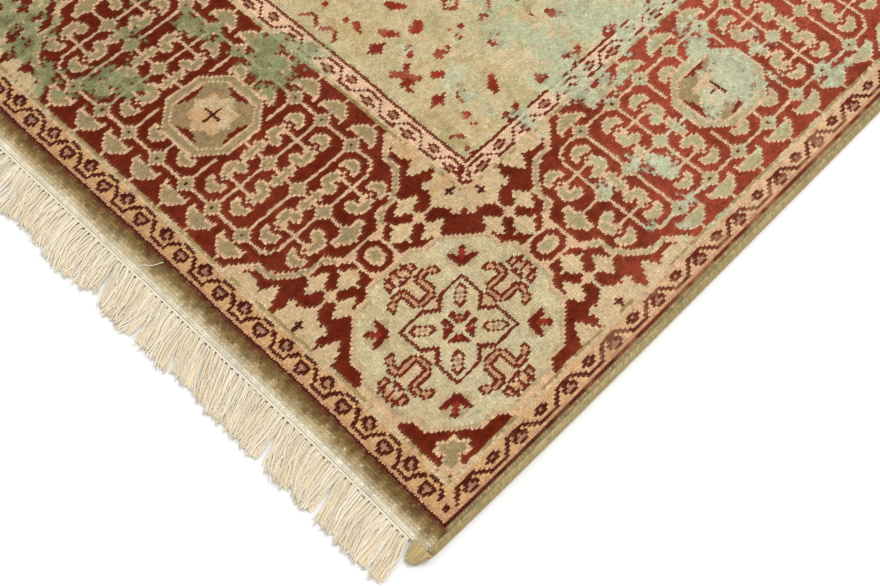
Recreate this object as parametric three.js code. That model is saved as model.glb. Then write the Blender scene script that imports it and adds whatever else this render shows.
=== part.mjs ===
// Hand-knotted wool rug with cotton fringes, lying flat. Millimetres, +Z up.
// X runs across the rug, Y along it. The origin is on the floor, under the middle of the whole rug's box.

import * as THREE from "three";

// Driving sizes of the knotted cloth
const LINE_WIDTH = 1474;
const LINE_LENGTH = 2401;
const SIDE_BAND = 6.2;
const END_BAND = 26.5;
const PILE_HEIGHT = 9;
const HALF_X = LINE_WIDTH / 2 + SIDE_BAND;
const HALF_Y = LINE_LENGTH / 2 + END_BAND;

// Parting between neighbouring pieces
const GAP = 0.4;

// Overcast side edges, a roll of wrapped wool
const SELVAGE_WIDTH = 6.4;
const SELVAGE_HEIGHT = 6.6;
const SELVAGE_SIDES = 8;

// Fringe: a flat woven strip and locks of warp ends laid on the floor
const STRIP_DEPTH = 5;
const STRIP_HEIGHT = 3.2;
const LOCK_PITCH = 13.3;
const LOCK_WIDTH = 11.2;
const LOCK_REACH = 42.6;
const LOCK_REACH_MIN = 31;
const LOCK_ROOT_HEIGHT = 3;
const LOCK_TIP_HEIGHT = 1.8;
const LOCK_TIP_SHARE = 0.52;
const LOCK_WAIST = 0.88;
const LOCK_BEND = 0.42;
const LOCK_LEAN = 0.3;
const LOCK_LEAN_SPREAD = 0.085;
const LOCK_GATHER = 0.26;
const TUFT_SIZES = [3, 2, 4, 3, 2, 3, 4, 2, 3];
const FRINGE_END_INSET = 4;
const FRINGE_TAIL_INSET = 19;

// Tail of the side binding that sticks out at the near right corner
const TAIL_HEIGHT = 3;
const TAIL_CLEAR = 1.2;
const TAIL_POINTS = [
  { x: -13.4, y: 0 },
  { x: -1.5, y: 0 },
  { x: 6.4, y: -2.6 },
  { x: 6.0, y: -4.4 },
  { x: -2.6, y: -12.9 },
  { x: -4.8, y: -12.7 },
];

// The cloth falls off in a soft roll at its edges: the distance in from the edge, and the share of the full height there
const SIDE_ROLL = [
  { inset: 0, share: 0.72 },
  { inset: 2.5, share: 0.9 },
  { inset: 7, share: 1 },
];
const END_ROLL = [
  { inset: 0, share: 0.38 },
  { inset: 5, share: 0.63 },
  { inset: 13, share: 0.88 },
  { inset: 24, share: 1 },
];

// Slow waves of the four edges, all drawn inwards from the full size
const EDGE_WAVES = {
  right: { depth: 1.6, length: 1150, start: 760 },
  left: { depth: 2.2, length: 980, start: -220 },
  far: { depth: 1.4, length: 760, start: 130 },
  near: { depth: 1.2, length: 1300, start: -260 },
};

// Each corner is dragged a little out of square. drag is in mm, reach is how fast the drag dies away along each edge
const CORNER_DRAGS = [
  { sideX: 1, sideY: -1, dragX: -6.5, dragY: -4.6, reachX: 160, reachY: 70 },
  { sideX: -1, sideY: -1, dragX: 2.5, dragY: 2, reachX: 140, reachY: 90 },
  { sideX: 1, sideY: 1, dragX: -2, dragY: -3, reachX: 150, reachY: 80 },
  { sideX: -1, sideY: 1, dragX: 3.5, dragY: -2, reachX: 170, reachY: 90 },
];
const DRAG_DEPTH = 75;

const edgeWave = ({ depth, length, start }, along) =>
  (depth / 2) * (1 - Math.cos((2 * Math.PI * (along - start)) / length));

// Moves a point of the true rectangle to its place in the uneven rug
function lay(x, y) {
  const edgeX = Math.min(Math.abs(x) / HALF_X, 1) ** 3;
  const edgeY = Math.min(Math.abs(y) / HALF_Y, 1) ** 3;
  let movedX = x - Math.sign(x) * edgeX * edgeWave(x > 0 ? EDGE_WAVES.right : EDGE_WAVES.left, y);
  let movedY = y - Math.sign(y) * edgeY * edgeWave(y > 0 ? EDGE_WAVES.far : EDGE_WAVES.near, x);
  for (const { sideX, sideY, dragX, dragY, reachX, reachY } of CORNER_DRAGS) {
    const fromSide = Math.max(HALF_X - sideX * x, 0);
    const fromEnd = Math.max(HALF_Y - sideY * y, 0);
    movedX += dragX * Math.exp(-fromEnd / reachX - fromSide / DRAG_DEPTH);
    movedY += dragY * Math.exp(-fromSide / reachY - fromEnd / DRAG_DEPTH);
  }
  return [movedX, movedY];
}

// Stations from one edge to the other: close together by the edges, even between them
function stations(half, edgeInsets, evenCount) {
  const last = edgeInsets[edgeInsets.length - 1];
  const even = Array.from({ length: evenCount - 1 }, (_, i) => -half + last + (2 * (half - last) * (i + 1)) / evenCount);
  const low = edgeInsets.map((inset) => -half + inset);
  return [...low, ...even, ...low.map((value) => -value).reverse()];
}

const CORNER_INSETS = [60, 110];
const STATIONS_X = stations(HALF_X, [...SIDE_ROLL.map((r) => r.inset), 30, ...CORNER_INSETS], 14);
const STATIONS_Y = stations(HALF_Y, [...END_ROLL.map((r) => r.inset), ...CORNER_INSETS, 190], 20);

function rollShare(roll, inset) {
  const next = roll.findIndex((r) => r.inset >= inset);
  if (next < 0) return 1;
  if (next === 0) return roll[0].share;
  const a = roll[next - 1];
  const b = roll[next];
  return a.share + ((b.share - a.share) * (inset - a.inset)) / (b.inset - a.inset);
}

function reshape(geometry, move) {
  const position = geometry.attributes.position;
  for (let i = 0; i < position.count; i += 1) {
    position.setXYZ(i, ...move(position.getX(i), position.getY(i), position.getZ(i)));
  }
  geometry.computeVertexNormals();
  return geometry;
}

// A box grid of whole steps, so that each grid line can go to its own station
function pileGeometry() {
  const stepsX = STATIONS_X.length - 1;
  const stepsY = STATIONS_Y.length - 1;
  const grid = new THREE.BoxGeometry(stepsX, stepsY, 1, stepsX, stepsY, 1);
  return reshape(grid, (gridX, gridY, gridZ) => {
    const x = STATIONS_X[Math.round(gridX + stepsX / 2)];
    const y = STATIONS_Y[Math.round(gridY + stepsY / 2)];
    const sideShare = rollShare(SIDE_ROLL, HALF_X - Math.abs(x));
    const endShare = rollShare(END_ROLL, HALF_Y - Math.abs(y));
    const top = PILE_HEIGHT * Math.min(sideShare, endShare);
    return [...lay(x, y), gridZ > 0 ? top : 0];
  });
}

// The wrapped roll is an even polygon with one side on the floor, pushed along the rug's stations
function selvageGeometry(side) {
  const turn = Math.PI / SELVAGE_SIDES;
  const flat = Math.cos(turn);
  const corners = Array.from({ length: SELVAGE_SIDES }, (_, i) => {
    const angle = -Math.PI / 2 + turn * (2 * i + 1);
    return new THREE.Vector2(
      (SELVAGE_WIDTH / 2) * (Math.cos(angle) / flat),
      (SELVAGE_HEIGHT / 2) * (1 + Math.sin(angle) / flat),
    );
  });
  const steps = STATIONS_Y.length - 1;
  const roll = new THREE.ExtrudeGeometry(new THREE.Shape(corners), { depth: steps, steps, bevelEnabled: false });
  roll.rotateX(Math.PI / 2);
  roll.translate(0, steps, 0);
  const middle = side * (HALF_X + GAP + SELVAGE_WIDTH / 2);
  return reshape(roll, (acrossX, gridY, z) => {
    const y = STATIONS_Y[Math.round(gridY)];
    const [edgeX, edgeY] = lay(side * HALF_X, y);
    return [edgeX + middle - side * HALF_X + acrossX, edgeY, z];
  });
}

// Small repeatable random numbers from 0 to 1
function seeded(seed) {
  let state = seed;
  return () => {
    state = (state * 16807) % 2147483647;
    return state / 2147483647;
  };
}

// Locks of one end from left to right: where each starts, how far it reaches out and how much it leans
function lockTable(left, right, lean, seed) {
  const random = seeded(seed);
  const count = Math.floor((right - left) / LOCK_PITCH);
  const spare = (right - left - count * LOCK_PITCH) / 2;
  const locks = [];
  for (let tuft = 0; locks.length < count; tuft += 1) {
    const size = Math.min(TUFT_SIZES[tuft % TUFT_SIZES.length], count - locks.length);
    const first = locks.length;
    const middle = left + spare + LOCK_PITCH * (first + size / 2);
    const tuftLean = lean + LOCK_LEAN_SPREAD * (2 * random() - 1);
    const tuftReach = LOCK_REACH * (0.9 + 0.16 * random());
    for (let i = 0; i < size; i += 1) {
      const root = left + spare + LOCK_PITCH * (first + i + 0.5);
      const reach = Math.min(Math.max(tuftReach * (0.88 + 0.16 * random()), LOCK_REACH_MIN), LOCK_REACH);
      locks.push({ root, reach, shift: tuftLean * reach - LOCK_GATHER * (root - middle) });
    }
  }
  return locks;
}

// One end's fringe: the strip with its locks is one comb-shaped outline, with the height of the cloth at each point
function fringeGeometry(side, left, right, lean, seed) {
  const outline = [];
  const tops = new Map();
  const placeKey = (x, y) => `${Math.fround(x)} ${Math.fround(y)}`;
  const add = (x, out, top) => {
    const [edgeX, edgeY] = lay(x, side * HALF_Y);
    const point = new THREE.Vector2(edgeX, edgeY + side * (GAP + out));
    outline.push(point);
    tops.set(placeKey(point.x, point.y), top);
  };
  const backs = [left, ...STATIONS_X.filter((x) => x > left + 1 && x < right - 1), right];
  backs.reverse().forEach((x) => add(x, 0, STRIP_HEIGHT));
  add(left, STRIP_DEPTH, LOCK_ROOT_HEIGHT);
  const half = LOCK_WIDTH / 2;
  for (const { root, reach, shift } of lockTable(left, right, lean, seed)) {
    const lockPoints = [
      { x: root - half, along: 0 },
      { x: root + shift * LOCK_BEND - half * LOCK_WAIST, along: 0.5 },
      { x: root + shift - half * LOCK_TIP_SHARE, along: 0.95 },
      { x: root + shift + half * LOCK_TIP_SHARE, along: 1 },
      { x: root + shift * LOCK_BEND + half * LOCK_WAIST, along: 0.5 },
      { x: root + half, along: 0 },
    ];
    lockPoints.forEach(({ x, along }) =>
      add(x, STRIP_DEPTH + reach * along, LOCK_ROOT_HEIGHT + (LOCK_TIP_HEIGHT - LOCK_ROOT_HEIGHT) * along),
    );
  }
  add(right, STRIP_DEPTH, LOCK_ROOT_HEIGHT);
  const comb = new THREE.ExtrudeGeometry(new THREE.Shape(outline), { depth: 1, steps: 1, bevelEnabled: false });
  return reshape(comb, (x, y, level) => [x, y, level > 0.5 ? tops.get(placeKey(x, y)) : 0]);
}

// The tail lies just past the dragged corner of the cloth
function tailGeometry() {
  const [cornerX, cornerY] = lay(HALF_X, -HALF_Y);
  const points = TAIL_POINTS.map(({ x, y }) => new THREE.Vector2(cornerX + x, cornerY - TAIL_CLEAR + y));
  return new THREE.ExtrudeGeometry(new THREE.Shape(points), { depth: TAIL_HEIGHT, bevelEnabled: false });
}

const wool = (color) => new THREE.MeshStandardMaterial({ color, roughness: 0.9, metalness: 0 });
const cotton = new THREE.MeshStandardMaterial({ color: 0xe6dcc2, roughness: 0.95, metalness: 0 });

function piece(name, geometry, material) {
  const mesh = new THREE.Mesh(geometry, material);
  mesh.name = name;
  return mesh;
}

const rug = new THREE.Group();
rug.add(piece("pile", pileGeometry(), wool(0x8c3526)));
rug.add(piece("selvage_left", selvageGeometry(-1), wool(0x98895a)));
rug.add(piece("selvage_right", selvageGeometry(1), wool(0x98895a)));
rug.add(piece("selvage_tail", tailGeometry(), wool(0xb3a067)));

const fringeLeft = -HALF_X + FRINGE_END_INSET;
const fringeRight = HALF_X - FRINGE_END_INSET;
const nearRight = HALF_X - FRINGE_TAIL_INSET;
rug.add(piece("fringe_near", fringeGeometry(-1, fringeLeft, nearRight, LOCK_LEAN, 7), cotton));
rug.add(piece("fringe_far", fringeGeometry(1, fringeLeft, fringeRight, -LOCK_LEAN, 29), cotton));

const middle = new THREE.Box3().setFromObject(rug).getCenter(new THREE.Vector3());
rug.position.set(-middle.x, -middle.y, 0);

export default rug;
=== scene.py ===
import math

import bpy
import numpy as np
from mathutils import Matrix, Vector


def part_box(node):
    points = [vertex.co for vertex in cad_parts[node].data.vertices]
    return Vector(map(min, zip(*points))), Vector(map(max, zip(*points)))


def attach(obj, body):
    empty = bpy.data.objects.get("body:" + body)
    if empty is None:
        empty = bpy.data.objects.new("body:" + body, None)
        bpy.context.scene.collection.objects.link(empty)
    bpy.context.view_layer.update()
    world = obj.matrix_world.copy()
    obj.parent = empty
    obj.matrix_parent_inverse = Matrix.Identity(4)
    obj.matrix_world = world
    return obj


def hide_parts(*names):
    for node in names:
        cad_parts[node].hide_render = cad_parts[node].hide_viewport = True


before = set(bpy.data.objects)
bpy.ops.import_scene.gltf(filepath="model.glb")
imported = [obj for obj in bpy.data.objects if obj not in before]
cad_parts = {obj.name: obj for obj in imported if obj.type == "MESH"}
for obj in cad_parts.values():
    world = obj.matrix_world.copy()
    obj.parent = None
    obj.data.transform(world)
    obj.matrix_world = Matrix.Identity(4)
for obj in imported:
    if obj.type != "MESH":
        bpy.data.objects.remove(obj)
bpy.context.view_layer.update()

# The rug lies flat. Sizes are in metres and repeat those of the part's solids. Knots are counted from the
# dark line that runs round the border: BORDER knots across the border, then the field.
LINE_WIDTH = 1.474
LINE_LENGTH = 2.401
SIDE_BAND = 0.0062
END_BAND = 0.0265
PILE_HEIGHT = 0.009
HALF_X = LINE_WIDTH / 2 + SIDE_BAND
HALF_Y = LINE_LENGTH / 2 + END_BAND

# The real knots are about 2.6 by 3.0 mm. They are drawn about 7 per cent coarser, so that each is one facet.
KNOTS_X = 529
KNOTS_Y = 753
SIDE_KNOTS = 2
END_KNOTS = 8
# The border's width, its middle line, and its repeat from one medallion to the next.
BORDER = 81
MIDDLE = 40
REPEAT = 224
HALF_REPEAT = REPEAT // 2

# The numbers of the dyes, in the order of DYES, and the letters that stand for them in the charts.
(RED, LINE, IVORY, SAGE, CELADON, APRICOT, OLIVE, MAUVE, CREAM, PINK, FIELD, BRICK, ENDBAND, KHAKI,
 SIDEBAND, ROSE, MOSS, BUFF, RUST, GHOST) = range(20)
LETTERS = {"#": LINE, "i": IVORY, "s": SAGE, "c": CREAM, "m": MAUVE, "p": PINK, "a": APRICOT, "b": BRICK,
           "f": BUFF, "u": RUST}


# The drawing of the border, in knots

def distance_to_path(x, y, points):
    nearest = np.full(x.shape, 1e9)
    for (ax, ay), (bx, by) in zip(points, points[1:]):
        dx, dy = bx - ax, by - ay
        share = np.clip(((x - ax) * dx + (y - ay) * dy) / (dx * dx + dy * dy), 0, 1)
        nearest = np.minimum(nearest, np.hypot(x - ax - share * dx, y - ay - share * dy))
    return nearest


def inside_outline(x, y, points):
    inside = np.zeros(x.shape, bool)
    for (ax, ay), (bx, by) in zip(points, points[1:] + points[:1]):
        if ay != by:
            crossed = (ay > y) != (by > y)
            inside ^= crossed & (x < (bx - ax) * (y - ay) / (by - ay) + ax)
    return inside


def shrink(where):
    """The knots of an area that have all four neighbours in it."""
    inner = where.copy()
    inner[1:] &= where[:-1]
    inner[:-1] &= where[1:]
    inner[:, 1:] &= where[:, :-1]
    inner[:, :-1] &= where[:, 1:]
    return inner


class Knotting:
    """A rectangle of knots that shapes, lines and charts are tied into."""

    def __init__(self, x0, x1, y0, y1, colour):
        self.x0, self.y0 = x0, y0
        self.x, self.y = np.meshgrid(np.arange(x0, x1 + 1.0), np.arange(y0, y1 + 1.0), indexing="ij")
        self.knots = np.full(self.x.shape, colour)

    def fill(self, where, colour):
        self.knots[where] = colour

    def line(self, points, width, colour):
        self.knots[distance_to_path(self.x, self.y, points) <= width / 2] = colour

    def patch(self, where, *colours):
        for colour in colours:
            self.knots[where] = colour
            where = shrink(where)

    def leaf(self, points, *colours):
        self.patch(inside_outline(self.x, self.y, points), *colours)

    def chart(self, rows, x, y, turn=(1, 0, 0, 1), at=(0, 0)):
        """Ties a chart whose upper left knot is (x, y), turned about (0, 0) and then moved to at."""
        for down, row in enumerate(rows):
            for right, letter in enumerate(row):
                if letter in LETTERS:
                    i, j = x + right, y - down
                    column = at[0] + turn[0] * i + turn[1] * j - self.x0
                    line = at[1] + turn[2] * i + turn[3] * j - self.y0
                    if 0 <= column < self.knots.shape[0] and 0 <= line < self.knots.shape[1]:
                        self.knots[column, line] = LETTERS[letter]


QUARTERS = [(1, 0, 0, 1), (1, 0, 0, -1), (0, 1, 1, 0), (0, -1, 1, 0)]
CORNERS = [(1, 1), (1, -1), (-1, 1), (-1, -1)]

# Half of the bud and split palmette on each side of a medallion's star, from the tip down to the foot.
SPLIT_PALMETTE = [
    "uu.u......",
    "upuuu.....",
    "uppupu....",
    "uccupu....",
    ".ucuuu....",
    "uuu.......",
    "cc.uuuu...",
    "ccuupppuu.",
    "ccupuuuppu",
    "ccupu..upu",
    "ccupu...uu",
    "ccupu.....",
    "ccupu.....",
    "uuupu.....",
    "pmpu......",
    "uuu.......",
]
# One of the four hearts in the middle of the star.
HEART = [
    "u....",
    "uu...",
    "uuu..",
    "ubmuu",
    ".uuuu",
]
ALMOND = [
    "...uuu",
    "..uccu",
    ".ucmcu",
    "ucmcu.",
    "uccu..",
    "uuu...",
]
BUD = [
    "u......",
    "uu..uu.",
    "uu.bbu.",
    "uubbb..",
    "uubb...",
    "uuuuuu.",
    ".uuuuuu",
]


def mirrored(points, x_sign=1, y_sign=1, x0=0, y0=0):
    return [(x0 + x_sign * x, y0 + y_sign * y) for x, y in points]


def tie_medallion(cloth):
    x, y = np.abs(cloth.x), np.abs(cloth.y)
    wide, both = np.maximum(x, y), x + y
    outline = ((wide <= 27) & (both <= 43)) | ((wide <= 30) & (both <= 38))
    cloth.patch(outline, IVORY, MOSS, CELADON)
    # The star: a square whose sides dip inwards at the middle.
    low, high = np.minimum(x, y), np.maximum(x, y)
    star = (high <= 12) & ~((low <= 4) & (high > 8 + low))
    cloth.patch(star, RUST, CELADON)
    cloth.fill((low + np.abs(high - 12) <= 2) & (high > 9), CREAM)
    cloth.fill((low + np.abs(high - 12) == 3) & (high < 15), RUST)
    for sx, sy in CORNERS:
        near = np.hypot(sx * cloth.x - 16, sy * cloth.y - 16)
        cloth.fill((near < 5) & (sx * cloth.x + sy * cloth.y > 28) & (high > 13), MOSS)
        for rows, first in ((HEART, 1), (ALMOND, 5), (BUD, 14)):
            cloth.chart(rows, first, first + len(rows) - 1, (sx, 0, 0, sy))
    for turn in QUARTERS:
        cloth.chart(SPLIT_PALMETTE, 0, 28, turn)
        # The other half is mirrored across: of the first and third numbers of a turn, one is 0.
        cloth.chart(SPLIT_PALMETTE, 0, 28, (-turn[0], turn[1], -turn[2], turn[3]))


# The middle of the link between a medallion and a cartouche, from the medallion's middle.
LINK = 36


def tie_link(cloth):
    """The small ringed lozenge between a medallion and a cartouche."""
    dx, dy = np.abs(cloth.x - LINK), np.abs(cloth.y)
    cloth.fill((dx <= 6) & (dy <= 5), IVORY)
    cloth.fill((dx <= 5) & (dy <= 4) & (dx + dy <= 7), RED)
    cloth.fill((dx <= 3) & (dy <= 2) & (dx + dy <= 4), IVORY)
    cloth.fill((dx <= 2) & (dy <= 1) & (dx + dy <= 2), SAGE)


# Half of a spandrel's spray, from the guard inwards: a palmette with a dark heart, a stem and small flowers.
SPRAY = [
    "#ffffffff..",
    "##ffffff...",
    "#fffffff...",
    "ffffffff...",
    "fffffffff..",
    "fffff.ff...",
    "fff........",
    "ff.........",
    "i..........",
    "i.....f....",
    "i....fff...",
    "i....fff...",
    "ii..fffff..",
    "iifffffffff",
    "ii..fffff..",
    "i....fff...",
    "f....fff...",
    "ff....f....",
    "fff........",
    "fff........",
    "fffff......",
    "fff........",
    "fff........",
    "ff.........",
    "f..........",
]
TREE = ["ffff", "fff.", "fff.", "ff..", "ff..", "f..."]
DOME = ["ffffff", "fffff.", "fff..."]


def tie_spandrel(cloth, sy, trees):
    """The ground beside a link, on one side of the border: sy is 1 or -1."""
    for sx in (1, -1):
        cloth.chart(SPRAY, 0, 30, (sx, 0, 0, sy), (LINK, 0))
        cloth.chart(DOME, 0, 30, (sx, 0, 0, sy), (58, 0))
        for x0 in trees:
            cloth.chart(TREE, 0, 30, (sx, 0, 0, sy), (x0, 0))


# The small shapes of a cartouche. They are tied from its middle line outwards, or from their own middle.
BEAN = ["....ii.", "...isi.", "...issi", "...issi", ".iiissi", "isssssi", "isssii.", ".iii..."]
HALF_MOON = ["..iii..", ".isssi.", "isssssi", "isiiisi", "ii...ii"]
FAN = ["i....i....i", "iiiisssiiii", "isssssssssi", ".isssssssi.", "..isssssi..", "...iisii...",
       ".....i....."]
UPRIGHT = [".iii.", ".isi.", "isssi", ".isi.", "iisii"]
DROP = ["...iii..", "...isi..", "..issi..", ".isssi..", ".issssi.", "issssssi"]
SHOULDER = [(41, 0), (41, -6), (43, -8.5), (46.3, -10.5), (46.8, -15.5), (49.2, -19), (53.4, -23.8),
            (60, -25), (62.4, -27), (66, -31)]
ROSETTE_LINE = [(59, 0), (59, -16.5), (60, -19), (62.5, -21), (112, -21)]
# The places of the fans along a cartouche. The last is the cartouche's own middle.
FANS = (71, 85, 98, HALF_REPEAT)


def tie_cartouche(cloth):
    x, y = cloth.x, cloth.y
    for sy in (1, -1):
        cloth.line(mirrored(SHOULDER, 1, sy), 2.3, IVORY)
        cloth.line(mirrored(SHOULDER[2:8], 1, sy), 0.9, SAGE)
        cloth.line(mirrored(ROSETTE_LINE, 1, sy), 1.1, IVORY)
        for column in FANS:
            cloth.chart(FAN, -5, -24, (1, 0, 0, -sy), (column, 0))
            cloth.fill((x == column) & (-sy * y >= 22) & (-sy * y <= 25), IVORY)
        for column in (53, 65, 79, 91, 105):
            cloth.chart(HALF_MOON, -3, 18, (1, 0, 0, sy), (column, 0))
        for column in (59, 85):
            cloth.line(mirrored([(-5, -11), (5, -11)], 1, sy, column), 0.9, IVORY)
            for sx in (1, -1):
                cloth.line(mirrored([(4, -11), (6, -13.5)], sx, sy, column), 0.9, IVORY)
                cloth.line(mirrored([(4, -11), (5.5, -9.6)], sx, sy, column), 0.9, IVORY)
                cloth.chart(BEAN, 3, 12, (sx, 0, 0, sy), (column, 0))
        for column in (65, 78, 92):
            cloth.chart(UPRIGHT, -2, 4, (1, 0, 0, sy), (column, 0))
        cloth.chart(DROP, 44, 5, (1, 0, 0, sy))
    for column, low, high in ((59, 3, 16), (71, 3, 18), (85, 3, 18), (98, 10, 18), (112, 14, 18)):
        cloth.fill((x == column) & (np.abs(y) >= low) & (np.abs(y) <= high), IVORY)
    cloth.fill((x >= 50) & (x <= 96) & (y == 0) & (cloth.knots != SAGE), IVORY)
    for column in (59, 71, 85):
        cloth.patch(np.abs(x - column) + np.abs(y) <= 3, IVORY, SAGE)
    for column in FANS:
        dx, dy = np.abs(x - column), np.abs(np.abs(y) - 21)
        cloth.patch(dx + dy <= 3, IVORY, SAGE)
        cloth.fill(dx + dy == 0, LINE)
    # The eight-sided room in the middle of the cartouche, with its star and plus.
    dx, dy = np.abs(x - HALF_REPEAT), np.abs(y)
    room = (dx <= 15) & (dy <= 14) & (dx + dy <= 21)
    cloth.patch(room, IVORY, SAGE, SAGE, IVORY, KHAKI)
    star = ((dx <= 6) & (dy <= 5)) | (dx + dy <= 8)
    cloth.fill(star & room, CREAM)
    cloth.fill((dx == 6) & (dy >= 3) & (dy <= 5), APRICOT)
    cloth.fill((dx <= 3) & (dy == 0), LINE)
    cloth.fill((dx == 0) & (dy <= 3), LINE)
    cloth.fill((dx <= 1) & (dy <= 1) & (dx + dy <= 1), LINE)
    cloth.fill((dx >= 10) & (dx <= 11) & (dy <= (dx - 9) * 2), RUST)
    cloth.fill((dy >= 9) & (dy <= 10) & (dx <= (dy - 8) * 2), RUST)


CORNER_LEAF = [(-30.5, -30.5), (-30.5, -27.4), (-28.8, -25.6), (-29.4, -22), (-26.6, -20.6), (-25.4, -22.4),
               (-22.4, -22.4), (-22.4, -25.4), (-20.6, -26.6), (-22, -29.4), (-25.6, -28.8), (-27.4, -30.5)]

# The guards' running vines: a low flower under an arch, then a high flower over a dash.
END_VINE = (["....#####....", "..##aaaaa##..", ".##.#####.##.", "##..#mmm#..##", "#...##m##...#",
             ".....###....."],
            ["..###..", ".##m##.", ".#mm##.", "..###..", ".......", "#######"])
SIDE_VINE = ([".............", "...#######...", "..##.###.##..", ".##.##m##.##.", "##..#mmm#..##",
              "#....###....#"],
             [".......", "..###..", ".##m##.", "..###..", ".......", "#######"])
INNER_VINE = (["....uuuuuuu....", "...u.......u...", "..u...uuu...u..", ".u..uummmuu..u.", "u.....uuu.....u",
               "..............."],
              ["....uuu....", "...ummmu...", "....uuu....", "...........", "..uuuuuuu..", "..........."])
# Where each vine begins, from the end of its side.
OUTER_START = 11
INNER_START = 81.6
# The inner vine's stem round a corner, from the border's middle lines.
INNER_TURN = ([(45, 38), (39.5, 37.5), (37, 34.5), (35, 33.8), (34, 35.8)], [(35.5, 37), (36.8, 37.8)])
# The lines of the guards, as (first row, last row, dye): the outer one, then the same towards the field.
GUARD_ROWS = [(-1, -1, LINE), (0, 0, PINK), (1, 6, APRICOT), (7, 7, CREAM), (8, 8, OLIVE),
              (72, 72, OLIVE), (73, 73, CREAM), (74, 79, ROSE), (80, 80, RUST)]


BARE = -1
VINE_KNOTS = 12


def run_vine(length, start, count, charts):
    """The vine of one side: its knots as [along, across], where BARE is ground."""
    cloth = Knotting(0, length - 1, 0, VINE_KNOTS, BARE)
    step = (length - 1 - 2 * start) / count
    for flower in range(count + 1):
        for rows, offset in zip(charts, (0, 0.5)):
            if flower < count or not offset:
                cloth.chart(rows, round(start + (flower + offset) * step) - len(rows[0]) // 2, 6)
    return cloth.knots


def draw_border():
    """One corner medallion and half a cartouche. All other parts of the border repeat or mirror it."""
    cloth = Knotting(-MIDDLE, HALF_REPEAT, -MIDDLE, MIDDLE, RED)
    cloth.leaf(CORNER_LEAF, IVORY, SAGE)
    tie_spandrel(cloth, 1, (50,))
    tie_spandrel(cloth, -1, (23, 50))
    tie_cartouche(cloth)
    tie_medallion(cloth)
    tie_link(cloth)
    # The last row before each guard repeats the one before it.
    cloth.knots[:, 9], cloth.knots[:, 71] = cloth.knots[:, 10], cloth.knots[:, 70]
    return cloth.knots


# What is left of the field's drawing: ordinary rings, flowers, leaves and hooks.
FIELD_CHARTS = {
    "cross": ["..u......u..", ".uuu....uuu.", "..uuu.uuuu..", "...uuuuuu...", "..uuuuuuuu..",
              ".uuuuuuuuuu.", "uuuu..uuuuuu", ".uu...uu.uu."],
    "star": ["..u...", "..uu..", ".uuuu.", "uuuuuu", ".uuuu.", "..uu..", "...u.."],
    "ring": ["..uuu..", ".uu.uu.", "uu...uu", "uu...uu", ".uu.uu.", "..uuu.."],
    "hook": ["uu.", "uuu", ".uu", ".uu", "uu.", "uuu", ".uu"],
    "oval": ["..bb.", ".bbbb", "bbbbb", "bbbb.", "bbbbb", ".bbb."],
    "bar": ["bb.....", "bbbb...", ".bbbbb.", "..bbbbu", "...buuu"],
    "dots": ["..bb...", ".bbb...", ".......", "bb...bb", "bb..bbb"],
    "wings": ["...bb....", "..bbbb.bb", "uubbb..bb"],
    "arch": ["..uuuu..", ".uu..uu.", "uu....uu", "u......u"],
    "bird": ["u....u...", "uu.uuuuu.", ".uuuuuu..", "..uuu....", "..uu....."],
    "leaf": ["..bb.", ".bbbb", "bbbb.", "bbb.."],
}
# One spray of the field, as (chart, across, along) from its middle line. It is mirrored about that line.
FIELD_SPRAY = [("cross", 0, 2), ("oval", 0, 17), ("dots", 0, 27), ("star", 15, 3), ("wings", 27, 7),
               ("arch", 33, -1), ("oval", 13, 18), ("bar", 24, 20), ("hook", 35, 15), ("ring", 11, 32),
               ("bird", 22, 31), ("leaf", 7, 11), ("star", 34, 30), ("hook", 0, 36), ("bar", 17, 11),
               ("leaf", 30, 37)]
# The sprays stand in rows: the first row's foot, the steps between rows and sprays, and the share worn off.
SPRAY_FOOT = 83
SPRAY_ROW = 42
SPRAY_STEP = 73
SPRAY_LOST = 0.14


def tie_field(knots, rng):
    """Sprays of the field, worn away here and there."""
    cloth = Knotting(-SIDE_KNOTS, KNOTS_X + SIDE_KNOTS - 1, -END_KNOTS, KNOTS_Y + END_KNOTS - 1, BARE)
    for row in range(8):
        for column in range(-3, 4):
            for name, across, along in FIELD_SPRAY:
                rows = FIELD_CHARTS[name]
                for sx in (1, -1):
                    if (sx < 0 and across == 0) or (name != "cross" and rng.random() < SPRAY_LOST):
                        continue
                    middle = KNOTS_X // 2 + (column + 0.5 * (row % 2)) * SPRAY_STEP + sx * across
                    for sy in (1, -1):
                        foot = SPRAY_FOOT + row * SPRAY_ROW + along
                        if foot + len(rows) > KNOTS_Y // 2:
                            continue
                        at = (int(middle + rng.integers(-1, 2)), foot if sy > 0 else KNOTS_Y - 1 - foot)
                        cloth.chart(rows, -(len(rows[0]) // 2), len(rows), (sx, 0, 0, sy), at)
    worn = clouds(knots.shape, rng, ((12, 11), 1), ((2.6, 2.4), 0.7))
    worn = worn - 0.5 * (rng.random(knots.shape) < 0.12)
    show = (cloth.knots > BARE) & (worn > -0.75) & (knots == FIELD)
    knots[(cloth.knots > BARE) & ~show & (knots == FIELD)] = GHOST
    knots[show] = cloth.knots[show]


def cloud(shape, cells, rng):
    """Smooth random values from -1 to 1, with the given size of their lumps in knots."""
    grid = rng.uniform(-1, 1, (int(shape[0] / cells[0]) + 3, int(shape[1] / cells[1]) + 3))
    result = grid
    for axis in (0, 1):
        place = np.arange(shape[axis]) / cells[axis]
        whole = place.astype(int)
        part = place - whole
        part = part * part * (3 - 2 * part)
        part = part[:, None] if axis == 0 else part[None, :]
        low, high = np.take(result, whole, axis), np.take(result, whole + 1, axis)
        result = low + (high - low) * part
    return result


def clouds(shape, rng, *layers):
    """A sum of clouds. Each layer is (the size of its lumps, its strength)."""
    total = 0
    for cells, strength in layers:
        total = total + strength * cloud(shape, cells, rng)
    return total


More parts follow.
